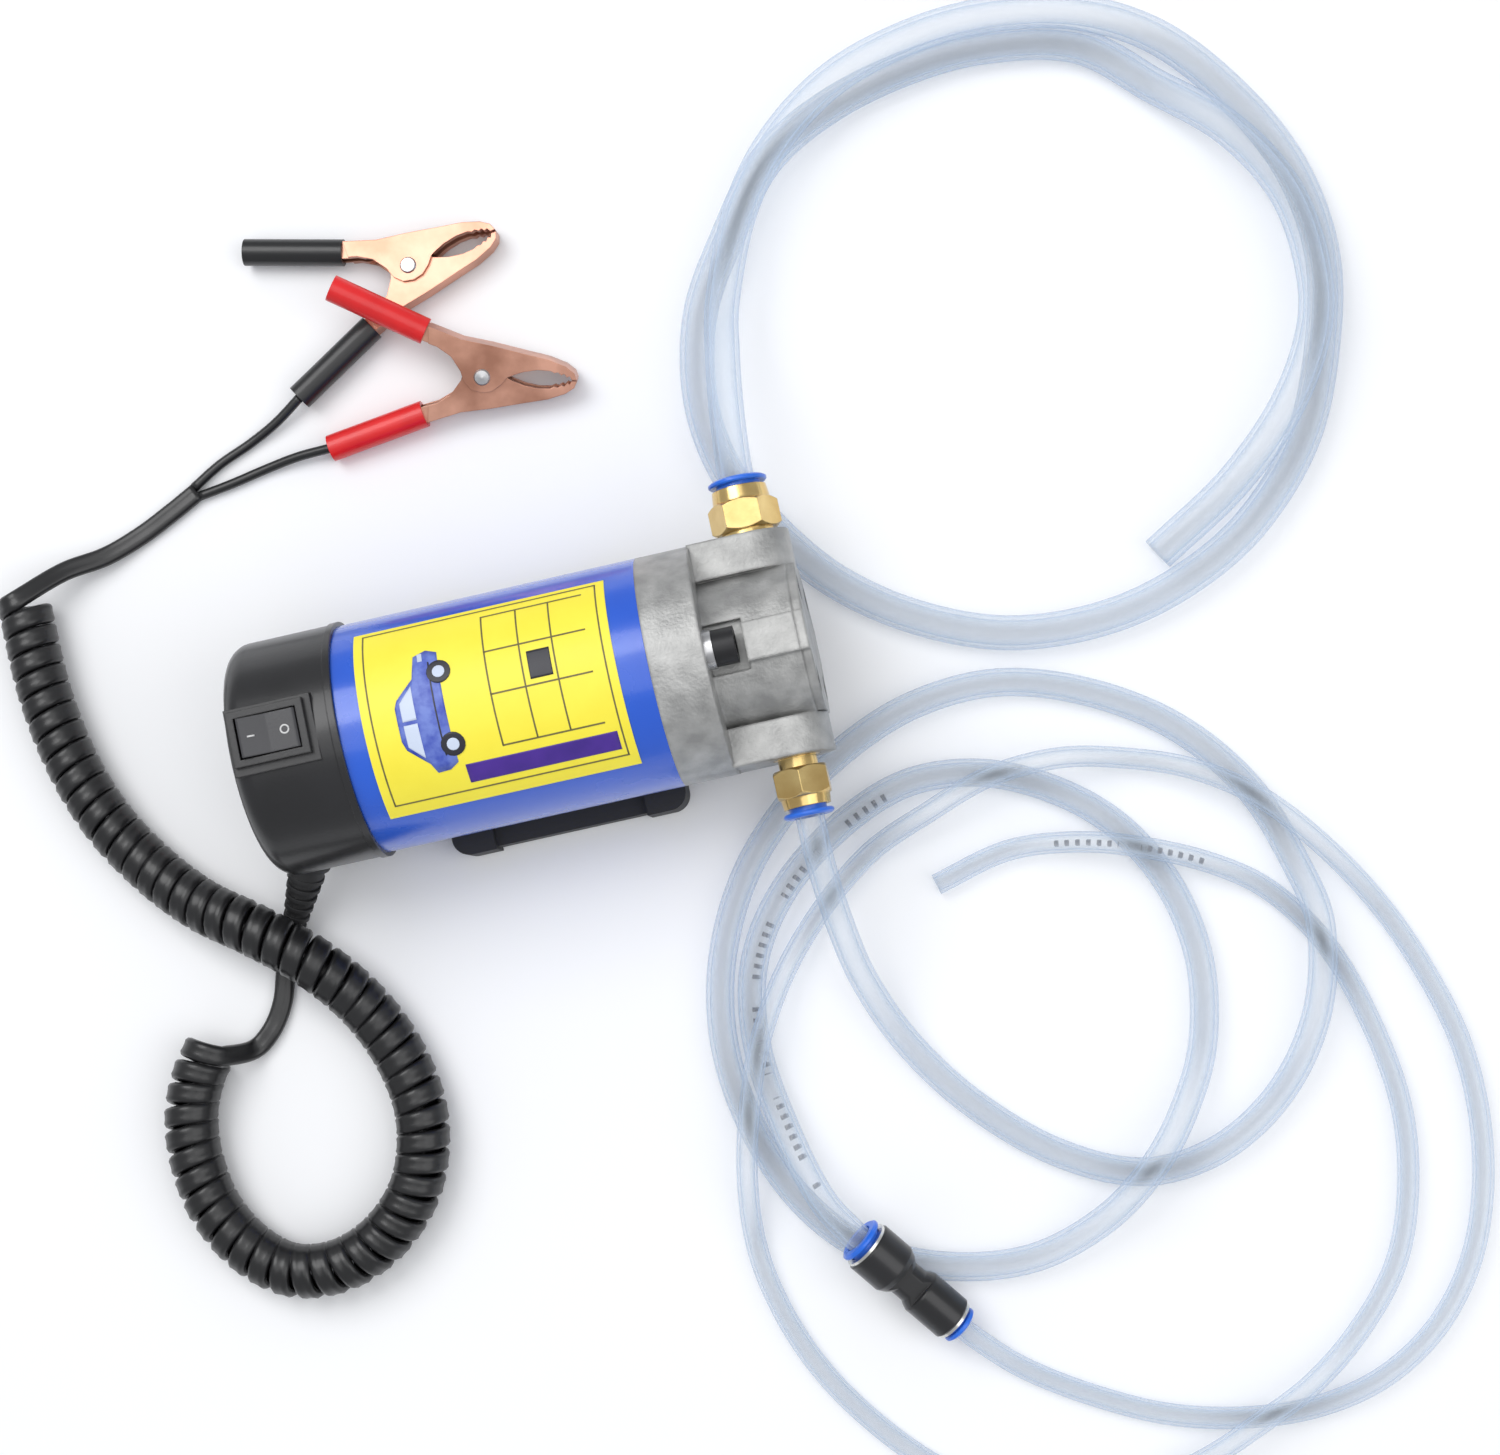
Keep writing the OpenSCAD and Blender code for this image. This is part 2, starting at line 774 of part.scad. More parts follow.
module switch_housing() {
    color("black")
        translate(switch_pos)
            difference() {
                union() {
                    translate([-10.5, -7.5, 0])
                        cube([21, 15, 1.9]);
                    translate([-9.4, -6.4, -16])
                        cube([18.8, 12.8, 16.5]);
                }
                translate([-8.5, -5.6, -5])
                    cube([17, 11.2, 8]);
                translate([0, -6, 0])
                    rotate([-90, 0, 0])
                        cylinder(r = pivot_r + run, h = 12);
            }
}

// Rocker: a shallow V on top, rounded underneath so that it clears its housing
module switch_rocker() {
    color("darkslategray")
        translate(switch_pos) {
            translate([0, -5.9, 0])
                rotate([-90, 0, 0])
                    cylinder(r = pivot_r, h = 11.8);
            rotate([0, rocker_tilt, 0])
                rotate([90, 0, 0])
                    translate([0, 0, -5.3])
                        linear_extrude(10.6)
                            polygon([
                                [-8, -0.6], [-7.9, 2.5], [-7.2, 2.8], [0, 2.1], [7.2, 2.8],
                                [7.9, 2.5], [8, -0.6], [4, -3.2], [-4, -3.2]
                            ]);
        }
}

module switch_terminals() {
    color("gold")
        for (x = [-4.5, 4.5])
            translate([switch_pos.x + x - 2.4, switch_pos.y - 0.4, switch_pos.z - 24])
                cube([4.8, 0.8, 8]);
}

// Ribbed boot round the lead, tapering from the cover to the floor
module strain_relief() {
    length = norm(relief_tip - relief_base);
    ribs = 6;
    pitch = (length - 7.5) / ribs;
    color("black")
        aim(relief_base, relief_tip) {
            difference() {
                union() {
                    translate([0, 0, -6.5])
                        cylinder(r = 4, h = 9);
                    translate([0, 0, 2])
                        cylinder(r = 6.2, h = 2.2);
                    translate([0, 0, 4])
                        cylinder(r = 5, h = 3.6);
                    for (i = [0:ribs - 1]) {
                        r = 5.3 - 1.9 * i / (ribs - 1);
                        translate([0, 0, 7 + i * pitch])
                            cylinder(r = r - 1.1, h = pitch + 0.5);
                        translate([0, 0, 7.6 + i * pitch])
                            cylinder(r = r, h = 1.3);
                    }
                }
                translate([0, 0, -7])
                    cylinder(r = 1.6, h = 6);
            }
        }
}

// ---- foot --------------------------------------------------------------------------------

module foot_base() {
    corner = 5;
    saddle = 12;
    color("black")
        difference() {
            union() {
                for (s = [-1, 1])
                    translate([s * (foot_l / 2 - saddle / 2), 0, 0])
                        foot_block(saddle, foot_w, foot_h, corner, s);
                translate([-foot_l / 2 + saddle - 1, -foot_w / 2 + 1, 0])
                    cube([foot_l - 2 * saddle + 2, foot_w - 2, foot_h - 4]);
            }
            ring_x(-foot_l / 2 - 1, foot_l / 2 + 1, can_r + 0.02);
            for (s = [-1, 1])
                translate([s * 20, 0, -1]) {
                    cylinder(r = 2.2, h = 10);
                    cylinder(r = 4.2, h = 2.4);
                }
        }
}

// End block of the foot, its two outer corners rounded
module foot_block(l, w, h, r, s) {
    translate([-l / 2, -w / 2, 0])
        difference() {
            cube([l, w, h]);
            for (y = [0, 1])
                translate([s > 0 ? l - r : r, y > 0 ? w - r : r, -1])
                    difference() {
                        translate([s > 0 ? 0 : -r - 1, y > 0 ? 0 : -r - 1, 0])
                            cube([r + 1, r + 1, h + 2]);
                        cylinder(r = r, h = h + 2);
                    }
        }
}

// Two countersunk screws that hold the foot to the can
module foot_screws() {
    color("silver")
        for (s = [-1, 1])
            translate([s * 20, 0, 0]) {
                translate([0, 0, 0.5])
                    cylinder(r = 4, h = 0.9);
                translate([0, 0, 0.6])
                    cylinder(r = 2.1, h = 5);
            }
}

// ---- supply lead -------------------------------------------------------------------------

module supply_lead() {
    color("black")
        tube(supply_route, lead_w / 2, lead_t / 2, 8);
}

module curly_lead() {
    color("black")
        tube(curl_route, curl_d / 2, curl_d / 2, 12);
}

module twin_lead() {
    color("black")
        tube(twin_route, lead_w / 2, lead_t / 2, 8);
}

module black_wire() {
    color("black")
        translate(-split_step)
            tube(black_wire_route, lead_t / 2, lead_t / 2, 8);
}

module red_wire() {
    color("black")
        translate(split_step)
            tube(red_wire_route, lead_t / 2, lead_t / 2, 8);
}

// ---- battery clips -----------------------------------------------------------------------

// Side outline of one clip arm: handle, ear round the pivot, toothed jaw
arm_outline = [
    [-41.9, 25], [-15.8, 14.1], [-6, 10.6], [2.5, 9.2], [12.5, 7.1], [19, 5.8], [24, 4],
    [26.5, 2.2], [27.3, 0.2], [25.8, 0.2], [25.2, 1.3], [24.4, 0.9], [23.6, 1.9],
    [22.8, 1.5], [21.8, 2.3], [20.8, 2], [19.6, 2.6], [16, 2.7], [12, 2], [9.2, 1],
    [7.4, 0.2], [5.6, -2], [3, -4], [0, -4.6], [-3, -3.9], [-5.2, -1.6], [-6.2, 1.5],
    [-9, 5.6], [-13, 8.2], [-17.6, 9.7], [-43.7, 20.6]
];

module place_clip(pos, turn) {
    translate(pos)
        rotate([0, 0, turn.z])
            rotate([0, turn.y, 0])
                rotate([turn.x, 0, 0])
                    children();
}

// Folded-sheet arm, open towards the other arm; t is its overall thickness
module clip_arm(t) {
    difference() {
        translate([0, 0, -t / 2])
            linear_extrude(t)
                polygon(arm_outline);
        for (s = [-1, 1])
            translate([-50, 0, s > 0 ? handle_w / 2 : -t / 2 - 1])
                cube([34.5, 30, t / 2 - handle_w / 2 + 1]);
        translate([-0.5, -clip_sheet - 0.1, -handle_w / 2 + clip_sheet])
            linear_extrude(handle_w - 2 * clip_sheet)
                polygon(arm_outline);
        translate([-14, -14, -t / 2 + clip_sheet])
            cube([22, 21, t - 2 * clip_sheet]);
        translate([0, 0, -t])
            cylinder(r = 1.7 + run, h = 2 * t);
    }
}

module clip_moving_arm() {
    color("darksalmon")
        clip_arm(clip_t);
}

module clip_fixed_arm() {
    color("darksalmon")
        mirror([0, 1, 0])
            clip_arm(clip_t - 2 * clip_sheet - 0.4);
}

module clip_rivet() {
    head_z = clip_t / 2 + run;
    color("silver") {
        translate([0, 0, -head_z])
            cylinder(r = 1.7, h = 2 * head_z);
        for (s = [0, 1])
            mirror([0, 0, s])
                translate([0, 0, head_z])
                    rotate_extrude()
                        polygon([[0, -0.1], [1.7, -0.1], [1.7, 0], [2.4, 0], [2, 0.5], [0, 0.7]]);
    }
}

// Torsion spring round the rivet
module clip_spring() {
    half_h = 1.6;
    color("silver")
        translate([0, 0, -half_h])
            wound_wire(4, 2.5, 0.35, 2 * half_h);
}

// PVC sleeve over one handle; the arm inside it is a press fit
module clip_sleeve(colour, s) {
    near = [handle_near.x, s * handle_near.y, 0];
    far = [handle_far.x, s * handle_far.y, 0];
    length = norm(far - near) + sleeve_over;
    color(colour)
        aim(near, far)
            difference() {
                cylinder(d = sleeve_d, h = length);
                translate([-handle_h / 2 - 0.02, -handle_w / 2 - 0.02, -1])
                    cube([handle_h + 0.04, handle_w + 0.04, length + 2]);
            }
}

module red_clip_fixed_arm() {
    place_clip(red_pos, red_turn) clip_fixed_arm();
}

module red_clip_moving_arm() {
    place_clip(red_pos, red_turn) clip_moving_arm();
}

module red_clip_rivet() {
    place_clip(red_pos, red_turn) clip_rivet();
}

module red_clip_spring() {
    place_clip(red_pos, red_turn) clip_spring();
}

module red_sleeve_fixed() {
    place_clip(red_pos, red_turn) clip_sleeve("red", -1);
}

module red_sleeve_moving() {
    place_clip(red_pos, red_turn) clip_sleeve("red", 1);
}

module black_clip_fixed_arm() {
    place_clip(black_pos, black_turn) clip_fixed_arm();
}

module black_clip_moving_arm() {
    place_clip(black_pos, black_turn) clip_moving_arm();
}

module black_clip_rivet() {
    place_clip(black_pos, black_turn) clip_rivet();
}

module black_clip_spring() {
    place_clip(black_pos, black_turn) clip_spring();
}

module black_sleeve_fixed() {
    place_clip(black_pos, black_turn) clip_sleeve("black", -1);
}

module black_sleeve_moving() {
    place_clip(black_pos, black_turn) clip_sleeve("black", 1);
}

// ---- coupler and hoses -------------------------------------------------------------------

coupler_l = norm(coupler_end - coupler_pos);

module on_coupler() {
    aim(coupler_pos, coupler_end) children();
}

// Reducing union: wide at the inlet hose, waisted, narrower at the suction hose
module coupler_body() {
    color("black")
        on_coupler()
            difference() {
                rotate_extrude()
                    polygon([
                        [0, 3.3], [7, 3.3], [7.5, 3.8], [7.5, 13], [6.4, 15.2], [5.2, 16.6],
                        [5.2, 20.6], [6, 22], [6.5, 23.2], [6.5, coupler_l - 3.8],
                        [6, coupler_l - 3.3], [0, coupler_l - 3.3]
                    ]);
                translate([0, 0, -1])
                    cylinder(r = 2, h = coupler_l + 2);
                translate([0, 0, -1])
                    cylinder(r = inlet_hose_d / 2 + 0.1, h = 16.5);
                translate([0, 0, -1])
                    cylinder(r = 5.2 + gap, h = 9);
                translate([0, 0, coupler_l - 14.5])
                    cylinder(r = suction_hose_d / 2 + 0.1, h = 16);
                translate([0, 0, coupler_l - 8])
                    cylinder(r = 4 + gap, h = 9);
                translate([0, 0, 8.9])
                    cylinder(r = inlet_hose_d / 2 + 1.05, h = 1.1);
                translate([0, 0, coupler_l - 9.1])
                    cylinder(r = suction_hose_d / 2 + 1.05, h = 1.1);
                for (s = [-1, 1])
                    translate([s > 0 ? 4.5 : -8.5, -9, 14.6])
                        cube([4, 18, 8]);
            }
}

// Thin pale rings pressed on each end of the coupler
module coupler_bands() {
    color("gainsboro")
        on_coupler() {
            translate([0, 0, 2.5])
                coupler_band(7, 5.2);
            translate([0, 0, coupler_l - 3.3])
                coupler_band(6, 4);
        }
}

module coupler_band(outer, inner) {
    difference() {
        cylinder(r = outer, h = 0.8);
        translate([0, 0, -1])
            cylinder(r = inner + gap, h = 3);
    }
}

module coupler_collet_inlet() {
    color("dodgerblue")
        on_coupler()
            mirror([0, 0, 1])
                translate([0, 0, -1.5])
                    collet(inlet_hose_d / 2, 5.2, 6.7, 5);
}

module coupler_collet_suction() {
    color("dodgerblue")
        on_coupler()
            translate([0, 0, coupler_l - 1.5])
                collet(suction_hose_d / 2, 4, 5.5, 5);
}

module coupler_seals() {
    color("black")
        on_coupler() {
            translate([0, 0, 9])
                coupler_seal(inlet_hose_d / 2);
            translate([0, 0, coupler_l - 9])
                coupler_seal(suction_hose_d / 2);
        }
}

module coupler_seal(hose_r) {
    difference() {
        cylinder(r = hose_r + 1, h = 0.9);
        translate([0, 0, -1])
            cylinder(r = hose_r + 0.02, h = 3);
    }
}

module outlet_hose() {
    color("aliceblue")
        tube(outlet_route, outlet_hose_d / 2, outlet_hose_d / 2, 12);
}

module inlet_hose() {
    color("aliceblue")
        tube(inlet_route, inlet_hose_d / 2, inlet_hose_d / 2, 12);
}

module suction_hose() {
    color("aliceblue")
        tube(suction_route, suction_hose_d / 2, suction_hose_d / 2, 10);
}

motor_can();
name_label();
magnets();
rotor_shaft();
armature_core();
armature_windings();
commutator();
ball_bearings();
rear_endbell();
carbon_brushes();
brush_springs();
pump_head();
end_plate();
end_plate_seal();
end_plate_screws();
head_screws();
spring_washers();
shaft_seal();
drive_gear();
driven_gear();
driven_gear_pin();
outlet_fitting();
outlet_collet();
inlet_fitting();
inlet_collet();
fitting_seals();
rear_cover();
switch_housing();
switch_rocker();
switch_terminals();
strain_relief();
foot_base();
foot_screws();
supply_lead();
curly_lead();
twin_lead();
black_wire();
red_wire();
red_clip_fixed_arm();
red_clip_moving_arm();
red_clip_rivet();
red_clip_spring();
red_sleeve_fixed();
red_sleeve_moving();
black_clip_fixed_arm();
black_clip_moving_arm();
black_clip_rivet();
black_clip_spring();
black_sleeve_fixed();
black_sleeve_moving();
coupler_body();
coupler_bands();
coupler_collet_inlet();
coupler_collet_suction();
coupler_seals();
outlet_hose();
inlet_hose();
suction_hose();
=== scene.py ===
import bpy
import json
import math
from mathutils import Matrix, Vector


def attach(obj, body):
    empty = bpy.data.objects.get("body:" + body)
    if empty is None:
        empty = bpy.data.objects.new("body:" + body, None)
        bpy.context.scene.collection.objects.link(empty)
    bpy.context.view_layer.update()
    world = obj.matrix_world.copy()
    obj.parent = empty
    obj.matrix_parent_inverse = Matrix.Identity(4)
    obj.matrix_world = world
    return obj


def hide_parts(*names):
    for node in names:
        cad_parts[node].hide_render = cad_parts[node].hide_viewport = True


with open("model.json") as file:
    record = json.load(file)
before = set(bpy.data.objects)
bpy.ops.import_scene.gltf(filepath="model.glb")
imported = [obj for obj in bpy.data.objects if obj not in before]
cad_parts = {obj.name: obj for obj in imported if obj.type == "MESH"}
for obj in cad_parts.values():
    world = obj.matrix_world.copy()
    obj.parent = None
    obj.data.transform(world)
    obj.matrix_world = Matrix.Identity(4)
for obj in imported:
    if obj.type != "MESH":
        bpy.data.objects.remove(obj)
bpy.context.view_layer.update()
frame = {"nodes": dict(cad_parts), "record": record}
nodes = frame["nodes"]
MM = 0.001


# ---- camera --------------------------------------------------------------------------------

def add_camera():
    place = Vector((0.111, -0.095, 0.8))
    target = Vector((0.0547, -0.0168, 0.0))
    roll = math.radians(-12.19)
    d = (target - place).normalized()
    r = d.cross(Vector((0, 1, 0))).normalized()
    u = r.cross(d)
    right = math.cos(roll) * r + math.sin(roll) * u
    up = -math.sin(roll) * r + math.cos(roll) * u
    data = bpy.data.cameras.new("camera")
    data.lens = 67.64
    data.sensor_width = 36
    data.sensor_fit = "HORIZONTAL"
    cam = bpy.data.objects.new("camera", data)
    rot = Matrix((right, up, -d)).transposed().to_4x4()
    cam.matrix_world = Matrix.Translation(place) @ rot
    bpy.context.collection.objects.link(cam)
    bpy.context.scene.camera = cam


add_camera()

# ---- routes, in millimetres ------------------------------------------------------------------
# The same points as the CAD's, except that the two leads stop short of the coil's ends.

OUTLET = [
    (68, 34, 35), (68, 46, 35), (68, 52, 34.6), (69, 68, 30), (71, 86, 23), (74, 102, 18),
    (84, 126, 16), (98, 144, 15.8), (118, 158, 15), (142, 165, 14), (165, 166, 13.5),
    (190, 161, 12.2), (211, 150, 7), (228, 129, 5), (239, 105, 5), (242, 80, 5), (237, 56, 5),
    (225, 29, 5), (205, 8, 5), (182, -4, 5), (158, -9, 5), (132, -7, 5), (108, 3, 5),
    (88, 18, 5), (74, 36, 5), (64, 56, 5), (61, 78, 5), (66, 102, 5), (78, 122, 5),
    (94, 142, 5), (114, 153, 5), (138, 159, 5), (162, 160, 5), (188, 154, 5), (206, 138, 5),
    (223, 119, 12), (234, 98, 15.3), (237, 77, 15.4), (234, 58, 15.2), (222, 38, 13.8),
    (203, 20.5, 8), (178, 5.5, 5),
]
INLET = [
    (68, -34, 35), (68, -46, 35), (68, -50, 34.6), (68, -60, 32), (69, -76, 24), (72, -94, 14),
    (80, -114, 6), (94, -134, 4), (114, -152, 4), (136, -162, 4), (158, -160, 4),
    (178, -148, 4), (192, -129, 7), (198, -106, 10.7), (196, -88, 5), (188, -64, 4),
    (172, -43, 4), (150, -28, 4), (126, -20, 4), (102, -21, 4), (80, -29, 4), (60, -42, 4),
    (44, -59, 4), (33, -81, 4), (29, -104, 4), (32, -128, 4), (41, -150, 4), (55, -166, 4),
    (76, -176, 4), (100, -179, 4), (121, -173, 7), (137, -162, 12.8), (150, -148, 8),
    (160, -130, 4), (164, -106, 4), (159, -82, 4), (145, -61, 4), (122, -46, 4), (98, -42, 4),
    (76, -49, 4), (55, -64, 4), (42, -83, 4), (38, -106, 4), (41.5, -130, 9),
    (47.5, -150, 16), (54, -160.4, 19.7), (56.9, -164.4, 18.4), (62, -171.4, 16.1),
]
SUCTION = [
    (71.4, -184.1, 11.9), (76.5, -191.1, 9.6), (80.4, -196.4, 7.9), (92, -208, 3.5),
    (109, -219, 3), (128, -228, 3), (148, -233, 3), (168, -234, 3), (187, -230, 3),
    (204, -220, 3), (217, -205, 3), (225, -187, 3), (229, -167, 3), (229, -147, 3),
    (225, -128, 3), (217, -106, 3), (205, -86, 9), (190, -68, 12.5), (174, -56, 8.5),
    (157, -49, 6), (138, -45, 10.8), (118, -46, 11.4), (99, -52, 9), (81, -59, 3.5),
    (65, -71, 3), (51, -86, 6), (40, -104, 12), (33, -122, 12.2), (28, -141, 9.5),
    (26, -160, 3), (29, -178, 3), (36, -196, 3), (47, -213, 3), (62, -229, 3), (80, -240, 3),
    (98, -246, 3), (117, -246, 3), (136, -241, 6.5), (152, -234, 9.8), (168, -227, 7.5),
    (184, -216, 3), (198, -200, 3), (206, -180, 3), (209, -158, 3), (206, -134, 3),
    (199, -111, 3), (187, -93, 3), (172, -82, 7), (153, -73.5, 11.8), (136, -68.5, 8),
    (118, -67, 3), (97, -72, 3),
]
SUPPLY = [
    (-86, -46, 4), (-88.6, -50.1, 2.4), (-91, -57, 1.6), (-93.5, -65, 1.6), (-98, -72, 1.8),
    (-104, -76.5, 3),
]
CURL = [
    (-115, -74, 8), (-120, -81, 8), (-124, -91, 8), (-125, -104, 8), (-122, -119, 8),
    (-114, -132, 8), (-103, -140, 8), (-89, -141, 8), (-75, -135, 8), (-64, -123, 8),
    (-59, -106, 8), (-61, -89, 8), (-68, -72, 10), (-79, -57, 14), (-94, -44, 14.5),
    (-109, -33, 11), (-122, -19, 8), (-132, -3, 8), (-139, 16, 8), (-143, 38, 8),
    (-144, 64, 8),
]
TWIN = [
    (-131, 70.5, 7.5), (-119, 73, 3.5), (-108, 77, 1.6), (-98, 81.5, 1.6), (-89, 86, 1.6),
]
BLACK_WIRE = [
    (-89.65, 87.42, 1.6), (-80.65, 92.42, 1.6), (-70.65, 96.42, 1.6), (-61.65, 100.42, 3),
    (-52.75, 105.82, 4.85),
]
RED_WIRE = [
    (-88.35, 84.58, 1.6), (-78.35, 85.98, 1.6), (-67.35, 87.98, 1.6), (-57.35, 89.08, 2.9),
    (-46.65, 89.08, 4.3),
]


def smooth(points, step=2.0):
    """A dense smooth curve through the points, in metres."""
    pts = [Vector(p) * MM for p in points]
    out = []
    for i in range(len(pts) - 1):
        p0 = pts[i - 1] if i else 2 * pts[0] - pts[1]
        p1, p2 = pts[i], pts[i + 1]
        p3 = pts[i + 2] if i + 2 < len(pts) else 2 * pts[-1] - pts[-2]
        a = (p1 - p0).length ** 0.5
        b = (p2 - p1).length ** 0.5
        c = (p3 - p2).length ** 0.5
        m1 = (p2 - p0) / (a + b) * b
        m2 = (p3 - p1) / (b + c) * b
        k = max(2, int(round((p2 - p1).length / (step * MM))))
        for j in range(k):
            t = j / k
            h00, h10 = 2 * t**3 - 3 * t**2 + 1, t**3 - 2 * t**2 + t
            h01, h11 = -2 * t**3 + 3 * t**2, t**3 - t**2
            out.append(h00 * p1 + h10 * m1 + h01 * p2 + h11 * m2)
    out.append(pts[-1])
    return out


def tangents(path):
    n = len(path)
    return [(path[min(i + 1, n - 1)] - path[max(i - 1, 0)]).normalized() for i in range(n)]


def run_length(path):
    total = [0.0]
    for a, b in zip(path, path[1:]):
        total.append(total[-1] + (b - a).length)
    return total


def carried(path):
    """A side vector at each point, turned as little as possible along the path."""
    t = tangents(path)
    side = t[0].cross(Vector((0, 0, 1)))
    if side.length < 1e-4:
        side = Vector((0, 1, 0))
    side.normalize()
    out = []
    for v in t:
        side = (side - v * side.dot(v)).normalized()
        out.append(side.copy())
    return out


def link(name, verts, faces, uvs=None, flat=False):
    mesh = bpy.data.meshes.new(name)
    mesh.from_pydata(verts, [], faces)
    if uvs:
        layer = mesh.uv_layers.new(name="run")
        for loop in mesh.loops:
            layer.data[loop.index].uv = uvs[loop.vertex_index]
    mesh.update()
    if not flat:
        for p in mesh.polygons:
            p.use_smooth = len(p.vertices) == 4
    o = bpy.data.objects.new(name, mesh)
    bpy.context.collection.objects.link(o)
    return o


def sweep(name, path, section, sides=None, inner=None):
    """A section, a list of (across, up) points, along a path; inner makes it a pipe."""
    side = sides or carried(path)
    t = tangents(path)
    run = run_length(path)
    n = len(section)
    verts, faces, uvs = [], [], []
    for ring in ([section, inner] if inner else [section]):
        for i, p in enumerate(path):
            s = (side[i] - t[i] * side[i].dot(t[i])).normalized()
            u = s.cross(t[i])
            for k, (a, b) in enumerate(ring):
                verts.append(p + s * a + u * b)
                uvs.append((run[i], k / n))
    rows = len(path)
    for layer in range(2 if inner else 1):
        base = layer * rows * n
        for i in range(rows - 1):
            for k in range(n):
                q = (k + 1) % n
                near, far = base + i * n, base + (i + 1) * n
                f = [near + k, near + q, far + q, far + k]
                faces.append(f if layer == 0 else f[::-1])
    if inner:
        off = rows * n
        for i, flip in ((0, True), (rows - 1, False)):
            for k in range(n):
                q = (k + 1) % n
                f = [i * n + k, i * n + q, off + i * n + q, off + i * n + k]
                faces.append(f if flip else f[::-1])
    else:
        faces.append(list(range(n))[::-1])
        faces.append([(rows - 1) * n + k for k in range(n)])
    return link(name, verts, faces, uvs)


def circle(r, n=20):
    angles = [2 * math.pi * k / n for k in range(n)]
    return [(r * math.cos(a), r * math.sin(a)) for a in angles]


# ---- materials -----------------------------------------------------------------------------

def material(name, color, second=None, metallic=0.0, rough=0.4, rough_spread=0.1, scale=60,
             bump=0.1, bump_scale=900, depth=0.0002, coat=0.0, edge=0.0, stretch=None):
    m = bpy.data.materials.new(name)
    m.use_nodes = True
    nt = m.node_tree
    bsdf = nt.nodes["Principled BSDF"]
    add = nt.nodes.new
    coord = add("ShaderNodeTexCoord")
    source = coord.outputs["Object"]
    if stretch:
        mapping = add("ShaderNodeMapping")
        mapping.inputs["Scale"].default_value = stretch
        nt.links.new(source, mapping.inputs["Vector"])
        source = mapping.outputs["Vector"]
    patch = add("ShaderNodeTexNoise")
    patch.inputs["Scale"].default_value = scale
    patch.inputs["Detail"].default_value = 6
    nt.links.new(source, patch.inputs["Vector"])
    ramp = add("ShaderNodeValToRGB")
    ramp.color_ramp.elements[0].position = 0.35
    ramp.color_ramp.elements[1].position = 0.68
    ramp.color_ramp.elements[0].color = (*(second or [c * 0.85 for c in color]), 1)
    ramp.color_ramp.elements[1].color = (*color, 1)
    nt.links.new(patch.outputs["Fac"], ramp.inputs["Fac"])
    nt.links.new(ramp.outputs["Color"], bsdf.inputs["Base Color"])
    bsdf.inputs["Metallic"].default_value = metallic
    spread = add("ShaderNodeMapRange")
    spread.inputs["To Min"].default_value = max(0.02, rough - rough_spread)
    spread.inputs["To Max"].default_value = min(1, rough + rough_spread)
    nt.links.new(patch.outputs["Fac"], spread.inputs["Value"])
    nt.links.new(spread.outputs["Result"], bsdf.inputs["Roughness"])
    grain = add("ShaderNodeTexNoise")
    grain.inputs["Scale"].default_value = bump_scale
    grain.inputs["Detail"].default_value = 4
    nt.links.new(source, grain.inputs["Vector"])
    relief = add("ShaderNodeBump")
    relief.inputs["Strength"].default_value = bump
    relief.inputs["Distance"].default_value = depth
    nt.links.new(grain.outputs["Fac"], relief.inputs["Height"])
    if edge:
        soft = add("ShaderNodeBevel")
        soft.inputs["Radius"].default_value = edge
        nt.links.new(soft.outputs["Normal"], relief.inputs["Normal"])
    nt.links.new(relief.outputs["Normal"], bsdf.inputs["Normal"])
    bsdf.inputs["Coat Weight"].default_value = coat
    bsdf.inputs["Coat Roughness"].default_value = 0.12
    return m


